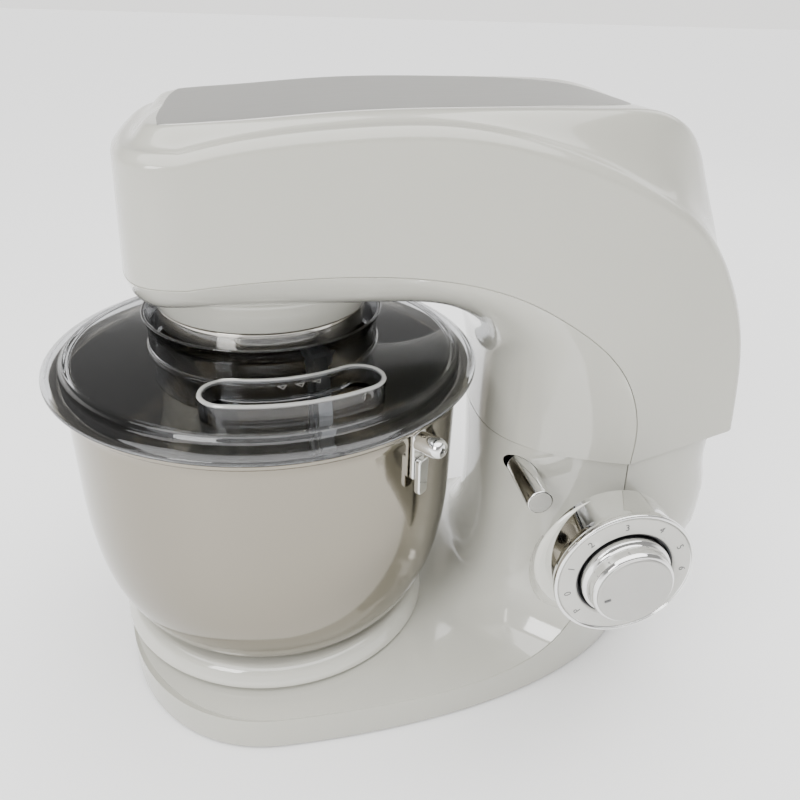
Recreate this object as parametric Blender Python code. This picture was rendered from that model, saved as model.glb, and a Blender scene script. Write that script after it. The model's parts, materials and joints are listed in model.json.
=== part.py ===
"""Tilt-head planetary stand mixer, as an assembly of separate pieces.

Lengths below are millimetres in the mixer's own layout: x runs from the nose to the rear with
x = 0 on the bowl axis, y runs across with the speed dial at -y, and z = 0 is the table.
The whole model hangs under one empty that puts the middle of its footprint on the origin.
"""

import math

import bmesh
import bpy
from mathutils import Matrix, Vector

MM = 0.001
SEAM_GAP = 0.9                  # clearance along the shells' parting lines

LID_RADIUS = 128.0
BOWL_RIM_Z = 203.0
REAR_X = 277.0
DIAL_FACE_Y = -166.0
FOOTPRINT_MIDDLE = ((REAR_X - LID_RADIUS) / 2, (LID_RADIUS + DIAL_FACE_Y) / 2)

WALL = 3.0                      # moulded shell thickness
SPLIT_X, SPLIT_Z, SPLIT_SLOPE = 200.0, 169.5, 0.18
HINGE_X, HINGE_Z = 246.0, 178.0

HUB_RADIUS = 60.6
BEATER_OFFSET = 32.0
LAYSHAFT_X = 60.0
MOTOR_X = 185.0

DIAL_X, DIAL_Z, DIAL_RADIUS = 178.0, 138.6, 38.5
BUTTON_X, BUTTON_Z, BUTTON_RADIUS = 152.0, 143.5, 7.8
EAR_AZIMUTH = -49.0

CHUTE_INNER, CHUTE_OUTER, CHUTE_TOP = 79.0, 108.3, 226.0
CHUTE_START, CHUTE_END = -102.5, -60.5

# Parting line of the outer shell and the glossy liner: x, z, half width.
HEAD_SEAM = (
    (-34, 279, 92), (0, 282.5, 93), (50, 284, 94), (93, 280, 95.5), (122, 272, 96.5),
    (143, 262, 97), (166, 247, 97.5), (183, 231, 98), (194, 213, 98), (200, 192, 98),
    (SPLIT_X, SPLIT_Z, 98),
)
# Middle line of the liner at each of those stations, x, z, and how square its section is.
HEAD_LINER = (
    (-34, 258.5, 6), (0, 258, 6), (50, 258, 6), (84, 257, 5.5), (104, 249, 4.6),
    (118, 237, 3.8), (127, 221, 3.2), (131, 204, 2.9), (133, 188, 2.7), (134, 172, 2.6),
    (134.5, 157.7, 2.6),
)
# Side view of the lower parting line, from the split down the column and along the foot: x, z.
BASE_SEAM = (
    (SPLIT_X, SPLIT_Z), (201, 145), (200, 115), (196, 85), (188, 60), (175, 40), (158, 29),
    (135, 24), (105, 22), (70, 22), (35, 22), (0, 22),
)
BASE_LINER = (
    (134.5, 157.7, 2.6), (135.5, 135, 2.6), (137, 105, 2.6), (137, 78, 2.6), (134, 56, 2.8),
    (127, 40, 3), (115, 30.5, 3), (101, 26.8, 2.6), (78, 26.5, 2.2), (50, 26.5, 2),
    (25, 26.5, 2), (0, 26.5, 2),
)
# Near half of the top panel's plan outline, from the nose to the rear.
PANEL_EDGE = (
    (-46, 0), (-45.5, -40), (-42, -58), (-28, -65), (60, -66), (130, -62), (172, -52), (196, -34),
    (206, 0),
)
SHOULDER_FRONT, SHOULDER_REAR, SHOULDER_END = 26.0, 70.0, 34.0
# Near half of the nose's plan outline at the parting line, from the middle to the side.
NOSE_PLAN = (
    (-71.5, 0), (-70.5, -30), (-67.5, -54), (-64.5, -68), (-60, -79), (-53, -86.5),
    (-44, -90.5), (-34, -92),
)
NOSE_X, NOSE_END = -71.5, -34.0
NOSE_STEPS, HEAD_STEPS, BASE_STEPS = 5, 15, 16
BASE_FRONT = 100.0

# Top outline of the head at y = 0, from the nose to the split behind.
SPINE = (
    (-20, 349), (5, 351), (40, 354), (75, 355.5), (110, 356), (150, 356), (185, 354.5),
    (212, 350), (232, 339), (246, 323), (257, 303), (265, 280), (271, 250), (275, 218),
    (REAR_X, SPLIT_Z + SPLIT_SLOPE * (REAR_X - SPLIT_X)),
)
# Ridge where the side wall turns into the shoulder, x, z, half width.
RIDGE = (
    (-34, 335, 90), (0, 342, 90), (50, 347, 91), (93, 347, 92.5), (130, 340, 93),
    (162, 330, 93), (190, 318, 92.5), (214, 304, 91), (234, 284, 90), (251, 254, 89),
    (261, 222, 88), (266, SPLIT_Z + SPLIT_SLOPE * (266 - SPLIT_X), 88),
)


def clear_scene():
    for item in list(bpy.data.objects):
        bpy.data.objects.remove(item, do_unlink=True)


def material(name, colour, roughness, metallic=0.0):
    made = bpy.data.materials.new(name)
    made.use_nodes = True
    shader = made.node_tree.nodes["Principled BSDF"]
    shader.inputs["Base Color"].default_value = (*colour, 1)
    shader.inputs["Roughness"].default_value = roughness
    shader.inputs["Metallic"].default_value = metallic
    return made


def finish_object(name, shape, finish, origin=(0, 0, 0)):
    """Turns a bmesh in layout millimetres into an object whose origin is the given point."""
    bmesh.ops.remove_doubles(shape, verts=shape.verts, dist=1e-4)
    bmesh.ops.recalc_face_normals(shape, faces=shape.faces)
    bmesh.ops.translate(shape, verts=shape.verts, vec=-Vector(origin))
    bmesh.ops.scale(shape, verts=shape.verts, vec=(MM, MM, MM))
    mesh = bpy.data.meshes.new(name)
    shape.to_mesh(mesh)
    shape.free()
    mesh.shade_smooth()
    mesh.set_sharp_from_angle(angle=math.radians(35))
    item = bpy.data.objects.new(name, mesh)
    bpy.context.scene.collection.objects.link(item)
    item.location = Vector(origin) * MM
    item.parent = ROOT
    if finish:
        mesh.materials.append(finish)
    return item


def as_cutter(item):
    item.hide_render = True
    item.display_type = "WIRE"
    return item


def boolean(item, other, operation="DIFFERENCE"):
    step = item.modifiers.new(other.name, "BOOLEAN")
    step.object = other
    step.operation = operation
    as_cutter(other)


def smooth_path(points, count):
    """Points at even steps of a Catmull-Rom curve through the given ones."""
    out = []
    last = len(points) - 1
    for i in range(count):
        place = i * last / (count - 1)
        k = min(int(place), last - 1)
        t = place - k
        four = [points[min(max(k + n, 0), last)] for n in (-1, 0, 1, 2)]
        out.append(tuple(
            0.5 * (2 * b + (c - a) * t + (2 * a - 5 * b + 4 * c - d) * t * t
                   + (3 * b - a - 3 * c + d) * t ** 3)
            for a, b, c, d in zip(*four)))
    return out


def turned(profile, centre=(0, 0, 0), axis="Z", steps=36, phase=0.0):
    """Solid of revolution of a closed (radius, height) outline."""
    shape = bmesh.new()
    rings = []
    for k in range(steps):
        turn = phase + 2 * math.pi * k / steps
        ring = []
        for radius, height in profile:
            point = Vector((radius * math.cos(turn), radius * math.sin(turn), height))
            if axis == "Y":
                point = Vector((point.x, -point.z, point.y))
            ring.append(shape.verts.new(point + Vector(centre)))
        rings.append(ring)
    count = len(profile)
    for k in range(steps):
        here, there = rings[k], rings[(k + 1) % steps]
        for j in range(count):
            n = (j + 1) % count
            if profile[j][0] == 0 and profile[n][0] == 0:
                continue
            corners = [here[j], there[j], there[n], here[n]]
            if profile[j][0] == 0:
                corners = [here[j], there[n], here[n]]
            elif profile[n][0] == 0:
                corners = [here[j], there[j], here[n]]
            shape.faces.new(corners)
    return shape


def disc(radius, low, high, bore=0.0):
    """Outline of a plain disc, or of a ring where it has a bore."""
    return [(bore, low), (radius, low), (radius, high), (bore, high)]


def prism(outline, low, high, axis="Z"):
    """Straight extrusion of an outline along Z, of an (x, z) one along Y or (y, z) along X."""
    shape = bmesh.new()

    def at(point, level):
        if axis == "Y":
            return (point[0], level, point[1])
        if axis == "X":
            return (level, point[0], point[1])
        return (point[0], point[1], level)

    lower = [shape.verts.new(at(p, low)) for p in outline]
    upper = [shape.verts.new(at(p, high)) for p in outline]
    shape.faces.new(lower)
    shape.faces.new(upper[::-1])
    for k in range(len(outline)):
        n = (k + 1) % len(outline)
        shape.faces.new((lower[k], lower[n], upper[n], upper[k]))
    return shape


def box(low, high):
    return prism([(low[0], low[1]), (high[0], low[1]), (high[0], high[1]), (low[0], high[1])],
                 low[2], high[2])


def arc(centre, radius, start, end, count):
    """Points on an arc, angles in degrees."""
    return [(centre[0] + radius * math.cos(math.radians(start + (end - start) * k / count)),
             centre[1] + radius * math.sin(math.radians(start + (end - start) * k / count)))
            for k in range(count + 1)]


def rounded_rectangle(low, high, radius, count=4):
    out = []
    corners = ((high[0], high[1], 0), (low[0], high[1], 90), (low[0], low[1], 180),
               (high[0], low[1], 270))
    for x, y, start in corners:
        centre = (x - math.copysign(radius, x - low[0] - 1e-6),
                  y - math.copysign(radius, y - low[1] - 1e-6))
        out += arc(centre, radius, start, start + 90, count)
    return out


def grid_faces(shape, rows):
    for here, there in zip(rows[:-1], rows[1:]):
        for a, b, c, d in zip(here[:-1], here[1:], there[1:], there[:-1]):
            shape.faces.new((a, b, c, d))


def gear_outline(teeth, pitch, phase=0.0, inner=False):
    """Straight-sided teeth with free play, for an outer gear or the bore of a ring gear."""
    module = 2 * pitch / teeth
    tip, root = pitch + 0.62 * module, pitch - 0.85 * module
    if inner:
        tip, root = pitch + 0.85 * module, pitch - 0.62 * module
    wide, narrow = (0.36, 0.2) if inner else (0.31, 0.13)
    out = []
    for k in range(teeth):
        for share, radius in ((-wide, root), (-narrow, tip), (narrow, tip), (wide, root)):
            turn = phase + 2 * math.pi * (k + share) / teeth
            out.append((radius * math.cos(turn), radius * math.sin(turn)))
    return out


def moved(outline, x, y):
    return [(a + x, b + y) for a, b in outline]


def seam_stations(seam, middle, count):
    """Stations along a liner: seam x, z, half width, middle x, z, squareness, and the
    shift in x and in half width that the back face takes at the seam."""
    joined = [a + b + (0, -WALL) for a, b in zip(seam, middle)]
    return smooth_path(joined, count)


def base_seam():
    """The lower parting line with its half width, just inside the housing's outer face."""
    return [(x, z, housing_half_width(x, z, housing_rear(z)) - 0.3) for x, z in BASE_SEAM]


def head_stations():
    """Stations of the head's liner, starting with the bowed nose."""
    seam_z = HEAD_SEAM[0][1]
    depth = seam_z - HEAD_LINER[0][1]
    plan = smooth_path(NOSE_PLAN, NOSE_STEPS + 2)
    nose = []
    for k in range(1, NOSE_STEPS + 1):
        x, y = plan[k]
        run = Vector(plan[k + 1]) - Vector(plan[k - 1])
        run.normalize()
        drop = depth * math.sqrt(1 - (1 - min(1, (x - NOSE_X) / 24)) ** 2)
        nose.append((x, seam_z, -y, x, seam_z - drop, 6, -WALL * run.y, -WALL * run.x))
    return nose + seam_stations(HEAD_SEAM, HEAD_LINER, HEAD_STEPS)


def base_stations():
    """Stations of the base's liner, ending with the oval front of the foot."""
    seam = base_seam()
    front = []
    for k in range(1, 8):
        turn = math.radians(12 * k)
        x = -(BASE_FRONT - 0.8) * math.sin(turn)
        half = seam[-1][2] * math.cos(turn)
        front.append((x, 22, half, x, 22 + 4.5 * math.cos(turn), 2,
                      WALL * math.sin(turn), -WALL * math.cos(turn)))
    return seam_stations(seam, BASE_LINER, BASE_STEPS) + front


def liner(stations, half_steps):
    """Closed shell: the visible face and a back face one wall away from the mouth of the C."""
    shape = bmesh.new()
    sides = []
    last = len(stations) - 1
    for wall in (0, WALL):
        rows = []
        for k, (px, pz, half, cx, cz, power, back_x, back_half) in enumerate(stations):
            before, after = stations[max(k - 1, 0)], stations[min(k + 1, last)]
            run = Vector((after[3] - before[3], after[4] - before[4])).normalized()
            mx, mz = cx - run.y * wall, cz + run.x * wall
            if wall:
                px, half = px + back_x, half + back_half
                mx = max(mx, px) if cx < NOSE_X + 1 else mx
                if px < 0:
                    mz = min(mz, pz) if pz > SPLIT_Z else max(mz, pz)
            row = []
            for j in range(2 * half_steps + 1):
                share = j / half_steps - 1
                share = math.copysign(abs(share) ** 0.8, share)
                rise = abs(share) ** power
                row.append(shape.verts.new(
                    (mx + (px - mx) * rise, half * share, mz + (pz - mz) * rise)))
            rows.append(row)
        grid_faces(shape, rows)
        sides.append(rows)
    front, rear = sides
    for end in (0, -1):
        grid_faces(shape, [front[end], rear[end]])
        grid_faces(shape, [[row[end] for row in front], [row[end] for row in rear]])
    return shape


def cover_rays():
    """Rays of the head's outer shell: parting line, ridge, spine, the spine's outward normal and
    the place between the front (0) and the split behind (1)."""
    seam, ridge, spine = (smooth_path(line, HEAD_STEPS) for line in (HEAD_SEAM, RIDGE, SPINE))
    top = Vector((spine[0][0], 0, spine[0][1]))
    upward = spine_normal(spine, 0)
    draw_in = RIDGE[0][2] / HEAD_SEAM[0][2]
    rays = []
    for x, y in smooth_path(NOSE_PLAN, NOSE_STEPS + 2)[:-1]:
        high = Vector((NOSE_END + (x - NOSE_END) * 0.945, y * draw_in, RIDGE[0][1]))
        rays.append((Vector((x, y, HEAD_SEAM[0][1])), high, top, upward, 0))
    for k, ((px, pz, half), (rx, rz, wide), (sx, sz)) in enumerate(zip(seam, ridge, spine)):
        rays.append((Vector((px, -half, pz)), Vector((rx, -wide, rz)), Vector((sx, 0, sz)),
                     spine_normal(spine, k), k / (HEAD_STEPS - 1)))
    return rays


def spine_normal(spine, k):
    before, after = spine[max(k - 1, 0)], spine[min(k + 1, len(spine) - 1)]
    return Vector((before[1] - after[1], 0, after[0] - before[0])).normalized()


def ease(low, high, x):
    t = min(1, max(0, (x - low) / (high - low)))
    return t * t * (3 - 2 * t)


def shoulder_reach(along):
    """How far the shoulder spreads from the ridge: short in front, long over the rear."""
    grown = SHOULDER_FRONT + (SHOULDER_REAR - SHOULDER_FRONT) * ease(0.42, 0.72, along)
    return grown + (SHOULDER_END - SHOULDER_REAR) * ease(0.86, 1.0, along)


def cover_ray(seam, ridge, spine, normal, along):
    """Points up one ray: wall, bevelled ridge, hollow shoulder, top."""
    wall = (ridge - seam).normalized()
    inward = spine - ridge
    climb = inward.dot(normal)
    across = inward - normal * climb
    unit = across.normalized()
    reach = shoulder_reach(along)
    out = [seam + wall * SEAM_GAP, seam.lerp(ridge, 0.5), ridge, ridge + unit * 4 + wall * 3]
    for step, rise in ((11, 0.1), ((11 + reach) / 2, 0.6), (reach, 1.0)):
        out.append(ridge + unit * step + normal * (3 + (climb - 3) * rise))
    out.append(ridge + unit * (reach + across.length) / 2 + normal * climb)
    out.append(spine)
    return out


def head_cover_shape():
    shape = bmesh.new()
    near = [cover_ray(*ray) for ray in cover_rays()]
    for side in (1, -1):
        rows = [[shape.verts.new((p.x, p.y * side, p.z)) for p in row] for row in near]
        grid_faces(shape, rows)
    bmesh.ops.remove_doubles(shape, verts=shape.verts, dist=0.01)
    bmesh.ops.recalc_face_normals(shape, faces=shape.faces)
    return shape


def housing_half_width(x, z, rear):
    """Half width of the lower housing at a place: an oval at the table, squarer higher up."""
    low_length = rear if x > 0 else BASE_FRONT
    low = 124 * max(0, 1 - (abs(x) / low_length) ** 2.15) ** (1 / 2.15)
    share = max(0, x - 60) / (rear - 60)
    high = 98 * max(0, 1 - share ** 5.5) ** (1 / 5.5) if x > 0 else low * 98 / 124
    blend = min(1, max(0, z - 10) / (150 - 50 * ease(180, 250, x)))
    return low + (high - low) * blend


def housing_rear(z):
    return 258 + 13 * math.sin(math.pi / 2 * min(1, z / 120))


def housing_loft(levels, inset=0.0, steps=22):
    """Closed stack of plan outlines, drawn in by the inset."""
    shape = bmesh.new()
    rings = []
    for z in levels:
        rear = housing_rear(z)
        middle, reach = (rear - BASE_FRONT) / 2, (rear + BASE_FRONT) / 2
        half = []
        for k in range(steps + 1):
            x = middle - reach * math.cos(math.pi * k / steps)
            half.append((x, housing_half_width(x, z, rear)))
        near = [(x, -y) for x, y in half]
        far = half[-2:0:-1]
        scale = ((reach - inset) / reach, (124 - inset) / 124)
        rings.append([
            shape.verts.new((middle + (x - middle) * scale[0], y * scale[1], z))
            for x, y in near + far])
    for here, there in zip(rings[:-1], rings[1:]):
        for k in range(len(here)):
            n = (k + 1) % len(here)
            shape.faces.new((here[k], here[n], there[n], there[k]))
    shape.faces.new(rings[0][::-1])
    shape.faces.new(rings[-1])
    return shape


def mouth_outline(gap):
    """Side outline of the space inside the C, grown past the lower seam by a gap."""
    seam = smooth_path(BASE_SEAM, BASE_STEPS)
    grown = []
    for k, (x, z) in enumerate(seam):
        before, after = seam[max(k - 1, 0)], seam[min(k + 1, len(seam) - 1)]
        run = Vector((after[0] - before[0], after[1] - before[1])).normalized()
        grown.append((x - run.y * gap, z + run.x * gap))
    return [(-200, 400), (SPLIT_X + gap, 400)] + grown + [(-200, 22 - gap)]


WHITE = (0.80, 0.80, 0.77)
clear_scene()
ROOT = bpy.data.objects.new("mixer", None)
bpy.context.scene.collection.objects.link(ROOT)
ROOT.location = Vector((-FOOTPRINT_MIDDLE[0], -FOOTPRINT_MIDDLE[1], 0)) * MM

GLOSS = material("gloss_white", WHITE, 0.12)
COVER = material("cover_white", (0.72, 0.72, 0.69), 0.25)
SATIN = material("satin_grey", (0.55, 0.55, 0.55), 0.45)
STEEL = material("polished_steel", (0.72, 0.70, 0.67), 0.08, 1)
CHROME = material("chrome", (0.85, 0.85, 0.85), 0.05, 1)
CAST = material("cast_aluminium", (0.58, 0.59, 0.60), 0.4, 1)
GEAR = material("gear_steel", (0.45, 0.45, 0.46), 0.35, 1)
BLACK = material("black_plastic", (0.03, 0.03, 0.03), 0.5)
RUBBER = material("grey_rubber", (0.25, 0.25, 0.26), 0.8)
COPPER = material("copper", (0.72, 0.35, 0.2), 0.35, 1)
BOARD = material("circuit_board", (0.05, 0.22, 0.1), 0.5)
CLEAR = material("clear_plastic", (0.8, 0.8, 0.8), 0.1)


def split_cutter(name, above, gap):
    """Wedge that holds everything above, or below, the sloping split of the column."""
    def at(x):
        return SPLIT_Z + SPLIT_SLOPE * (x - SPLIT_X) + gap
    far = 500 if above else -50
    outline = [(-250, at(-250)), (400, at(400)), (400, far), (-250, far)]
    return as_cutter(finish_object(name, prism(outline, -200, 200, "Y"), None))


def make_head_shells():
    cover = finish_object("head_cover", head_cover_shape(), COVER)
    skin = cover.modifiers.new("wall", "SOLIDIFY")
    skin.thickness = WALL * MM
    skin.offset = -1
    outline = smooth_path(PANEL_EDGE, 20)
    outline += [(x, -y) for x, y in outline[-2:0:-1]]
    recess = finish_object("panel_recess", top_slab(outline, -1.6, 12, 0.0), None)
    boolean(cover, recess)
    finish_object("top_panel", top_slab(outline, -1.2, 0.2, 0.4), SATIN)
    liner_item = finish_object("head_liner", liner(head_stations(), 6), GLOSS)
    bore = turned(disc(57, 240, 275), steps=28)
    boolean(liner_item, finish_object("hub_bore", bore, None))
    collar = [(57.2, 243.2), (61.5, 243.2), (66.5, 256), (66, 257.5), (58, 257.5), (57.2, 256)]
    finish_object("hub_collar", turned(collar, steps=32), GLOSS)


def spine_height(x):
    low = min(range(len(SPINE) - 1), key=lambda k: abs((SPINE[k][0] + SPINE[k + 1][0]) / 2 - x))
    (x0, z0), (x1, z1) = SPINE[low], SPINE[low + 1]
    return z0 + (z1 - z0) * (x - x0) / (x1 - x0)


def top_slab(outline, low, high, inset):
    """Slab that follows the arched top of the head, inside a plan outline."""
    shape = bmesh.new()
    middle = 80
    steps = len(outline) // 2
    rings = []
    for level in (low, high):
        ring = []
        for x, y in outline:
            sx = x + math.copysign(inset, middle - x) if inset else x
            sy = y * (1 - inset / 66)
            ring.append(shape.verts.new((sx, sy, spine_height(sx) + level)))
        rings.append(ring)
    for ring in rings:
        for k in range(steps):
            a, b = k, k + 1
            c, d = (len(ring) - b) % len(ring), (len(ring) - a) % len(ring)
            corners = [ring[a], ring[b], ring[c], ring[d]]
            if len(set(corners)) == 4:
                shape.faces.new(corners)
            elif len(set(corners)) == 3:
                shape.faces.new([c for i, c in enumerate(corners) if c not in corners[:i]])
    for k in range(len(outline)):
        n = (k + 1) % len(outline)
        shape.faces.new((rings[0][k], rings[0][n], rings[1][n], rings[1][k]))
    return shape


def make_base_shells():
    housing = finish_object("base_housing", housing_loft((2, 12, 25, 60, 105, 160, 200)), COVER)
    hollow = finish_object("housing_hollow", housing_loft((0, 12, 25, 60, 105, 160, 210), WALL),
                           None)
    boolean(housing, hollow)
    mouth = finish_object("mouth_cutter", prism(mouth_outline(0.5), -150, 150, "Y"), None)
    boolean(housing, mouth)
    boolean(housing, split_cutter("above_split", True, -0.8))
    inner = finish_object("base_liner", liner(base_stations(), 6), GLOSS)
    well = turned(disc(88, 10, 40), steps=36)
    boolean(inner, finish_object("seat_well", well, None))
    boolean(inner, split_cutter("above_liner_split", True, -0.8))
    boolean(inner, pod_cutter("pod_hole_liner"))
    boolean(housing, pod_cutter("pod_hole_housing"))
    hole = turned(disc(BUTTON_RADIUS + 0.8, 40, 110), (BUTTON_X, 0, BUTTON_Z), "Y", 20)
    boolean(inner, finish_object("button_hole", hole, None))
    gland = prism(moved(rounded_rectangle((-9, -9), (9, 9), 4), 0, 40), 240, 300, "X")
    boolean(housing, finish_object("gland_hole", gland, None))


POD_WALL, POD_RIM = (197, -96, 101, 47), (178.5, -132, 137.8, 40.5)


def pod_loft(rings, steps=28):
    """Closed loft of circles that face -Y, each given as x, y, z and radius."""
    shape = bmesh.new()
    made = []
    for x, y, z, radius in rings:
        made.append([shape.verts.new((x + radius * math.cos(2 * math.pi * k / steps), y,
                                      z + radius * math.sin(2 * math.pi * k / steps)))
                     for k in range(steps)])
    for here, there in zip(made[:-1], made[1:]):
        for k in range(steps):
            n = (k + 1) % steps
            shape.faces.new((here[k], here[n], there[n], there[k]))
    shape.faces.new(made[0])
    shape.faces.new(made[-1][::-1])
    return shape


def pod_cutter(name):
    """Oblique round hole that the dial's pod passes through."""
    x, y, z, radius = POD_WALL
    steep = (POD_RIM[0] - x) / (POD_RIM[1] - y), (POD_RIM[2] - z) / (POD_RIM[1] - y)
    rings = [(x + steep[0] * (at - y), at, z + steep[1] * (at - y), radius + 0.6)
             for at in (-70, -145)]
    return as_cutter(finish_object(name, pod_loft(rings), None))


def make_dial():
    """Pod, chrome barrel, marked ring and the turning knob."""
    x, y, z, radius = POD_WALL
    rx, ry, rz, rim = POD_RIM
    steep = (rx - x) / (ry - y), (rz - z) / (ry - y)
    inner = (x + steep[0] * 17, y + 17, z + steep[1] * 17, radius)
    shoulder = (rx + 1, ry + 5, rz - 2, rim + 1.5)
    rings = [inner, POD_WALL, shoulder, (rx, ry + 1, rz, rim + 0.6), POD_RIM]
    pod = finish_object("dial_pod", pod_loft(rings), GLOSS)
    socket = turned(disc(34, -90, 140), (DIAL_X, 0, DIAL_Z), "Y", 28)
    boolean(pod, finish_object("pod_socket", socket, None))
    ring_profile = [(30, 132.4), (36.5, 132.4), (36.5, 149), (DIAL_RADIUS, 150.5),
                    (DIAL_RADIUS, 153), (37, 154), (28, 153.2), (26, 151), (26, 147), (30, 147)]
    centre = (DIAL_X, 0, DIAL_Z)
    finish_object("dial_ring", turned(ring_profile, centre, "Y", 32), CHROME)
    knob_profile = [(0, 144), (24.5, 144), (24.5, 157), (22.5, 160), (21.8, 164), (20.5, 165),
                    (0, 165)]
    origin = (DIAL_X, -154, DIAL_Z)
    finish_object("speed_knob", turned(knob_profile, centre, "Y", 32), CHROME, origin)
    finish_object("knob_cap", turned(disc(19.5, 165.3, 166), centre, "Y", 28), SATIN, origin)
    shaft = turned(disc(3, 118, 143.7), centre, "Y", 10)
    finish_object("speed_control_shaft", shaft, CAST, origin)
    control = turned(disc(12, 104, 117.7), centre, "Y", 16)
    finish_object("speed_control", control, BLACK)


def make_button():
    """Release button with its stem, spring and the hook that it pulls."""
    centre = (BUTTON_X, 0, BUTTON_Z)
    profile = [(0, 52), (BUTTON_RADIUS, 52), (BUTTON_RADIUS, 92.3), (BUTTON_RADIUS - 0.7, 93),
               (0, 93)]
    origin = (BUTTON_X, -93, BUTTON_Z)
    finish_object("release_button", turned(profile, centre, "Y", 20), CHROME, origin)
    inside = (BUTTON_X + 4, 0, BUTTON_Z)
    rod = turned(disc(3, 20, 51.7), inside, "Y", 12)
    finish_object("release_rod", rod, GEAR, origin)
    spring = turned(disc(5.4, 24, 46, 3.4), inside, "Y", 14)
    finish_object("release_spring", spring, GEAR)
    hook = [(BUTTON_X, 134), (BUTTON_X + 9, 134), (BUTTON_X + 9, 180), (BUTTON_X - 4, 180),
            (BUTTON_X - 4, 174), (BUTTON_X, 171)]
    finish_object("latch_hook", prism(hook, -19.7, -14, "Y"), GEAR, origin)
    keeper = [(142, 183), (170, 183), (170, 188), (142, 188)]
    finish_object("latch_keeper", prism(keeper, -30, -8, "Y"), GEAR)


def make_bowl():
    outer = [(0, 41), (78, 41), (91.7, 43.5), (99.1, 50), (106.5, 65), (112.5, 85), (116.2, 115),
             (116.9, 150), (117.4, 196), (122.5, 198), (124, 200.5), (123, BOWL_RIM_Z),
             (119.5, BOWL_RIM_Z), (116.4, 199)]
    inner = [(115.9, 150), (115.2, 115), (111.5, 85.5), (105.5, 66), (98.2, 51.5), (90.5, 45.5),
             (77, 43.4), (0, 43.4)]
    finish_object("bowl", turned(outer + inner, steps=32), STEEL, (0, 0, 40))
    foot = [(60, 34), (66, 34), (66, 40.7), (60, 40.7)]
    finish_object("bowl_foot_ring", turned(foot, steps=24), STEEL, (0, 0, 40))
    seat = [(58, 24), (86, 24), (86, 27.2), (102, 27.2), (101, 31), (98.5, 36), (95.5, 38.6),
            (70, 38.6), (69, 33), (58, 33)]
    finish_object("bowl_seat", turned(seat, steps=32), GLOSS)
    make_handle()


def make_handle():
    """Ear on the side of the bowl: strap, stub and hanging tongue."""
    turn = math.radians(EAR_AZIMUTH)
    along = Matrix.Rotation(turn, 4, "Z")
    strap = box((117.9, -5.5, 166), (120.6, 5.5, 196))
    stub = turned(disc(5.8, 119.5, 137), (0, 0, 189), "Y", 14)
    bmesh.ops.rotate(stub, verts=stub.verts, matrix=Matrix.Rotation(math.pi / 2, 3, "Z"))
    tongue = box((120, -4.5, 158), (124, 4.5, 181))
    items = []
    for name, shape in (("bowl_handle", strap), ("handle_stub", stub), ("handle_tongue", tongue)):
        bmesh.ops.transform(shape, matrix=along, verts=shape.verts)
        items.append(finish_object(name, shape, CHROME, (0, 0, 40)))
    boolean(items[0], items[1], "UNION")
    boolean(items[0], items[2], "UNION")


def make_lid():
    """Clear splash lid with its collar around the hub and the feeding chute."""
    profile = [(64.5, 214), (112, 211.5), (116, 208.3), (124, 207.2), (127, 204.6),
               (LID_RADIUS, 204.6), (LID_RADIUS, 206.6), (125, 209.4), (117, 210.6),
               (113, 213.8), (67.5, 216.4), (67, 229), (70, 237), (68.2, 237.5), (64.5, 229.5)]
    lid = finish_object("splash_lid", turned(profile, steps=32), CLEAR, (0, 0, 210))
    outer = chute_outline(0)
    inner = chute_outline(2.4)
    wall = finish_object("chute_wall", prism(outer, 212, CHUTE_TOP), CLEAR)
    boolean(lid, wall, "UNION")
    boolean(lid, finish_object("chute_hole", prism(inner, 200, 240), None))


def chute_outline(inset):
    """Bean-shaped plan of the chute, in front of the hub on the dial side."""
    inner_radius, outer_radius = CHUTE_INNER + inset, CHUTE_OUTER - inset
    cap = (outer_radius - inner_radius) / 2
    middle = (inner_radius + outer_radius) / 2
    start, end = CHUTE_START, CHUTE_END
    out = arc((0, 0), outer_radius, start, end, 10)
    for at, first in ((end, end), (start, start + 180)):
        turn = math.radians(at)
        centre = (middle * math.cos(turn), middle * math.sin(turn))
        out += arc(centre, cap, first, first + 180, 6)[1:-1]
        if at == end:
            out += arc((0, 0), inner_radius, end, start, 10)
    return out


def make_hub():
    """Planetary head: turning carrier, sun spindle, fixed ring gear and the beater's shaft."""
    axis = (0, 0, 236)
    carrier_profile = [(0, 229.5), (52, 229.5), (59.5, 231.1), (HUB_RADIUS, 232.5),
                       (HUB_RADIUS, 242.2), (59, 242.8), (45, 242.8), (0, 242.8)]
    carrier = finish_object("planet_carrier", turned(carrier_profile, steps=32), STEEL, axis)
    beater_bore = turned(disc(6.3, 225, 250), (BEATER_OFFSET, 0, 0), steps=16)
    boolean(carrier, finish_object("carrier_bore", beater_bore, None))
    finish_object("hub_spindle", turned(disc(6, 243.1, 322), steps=16), GEAR, axis)
    sun = prism(gear_outline(40, 50), 277, 288)
    main_gear = finish_object("main_gear", sun, GEAR, axis)
    boolean(main_gear, finish_object("main_gear_bore", turned(disc(6.3, 270, 300), steps=16), None))
    ring = finish_object("ring_gear", turned(disc(56.5, 244.5, 253), steps=36), GEAR)
    teeth = prism(gear_outline(36, 48, inner=True), 240, 260)
    boolean(ring, finish_object("ring_gear_bore", teeth, None))
    axis = (BEATER_OFFSET, 0, 236)
    shaft = [(0, 208), (5, 208), (5, 226), (6, 226), (6, 244.2), (4, 244.2), (4, 256), (0, 256)]
    finish_object("beater_shaft", turned(shaft, (BEATER_OFFSET, 0, 0), steps=16), STEEL, axis)
    pinion = prism(moved(gear_outline(12, 16), BEATER_OFFSET, 0), 244.6, 253)
    planet = finish_object("planet_gear", pinion, GEAR, axis)
    bore = turned(disc(4.3, 240, 260), (BEATER_OFFSET, 0, 0), steps=16)
    boolean(planet, finish_object("planet_gear_bore", bore, None))
    make_beater(axis)


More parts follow.
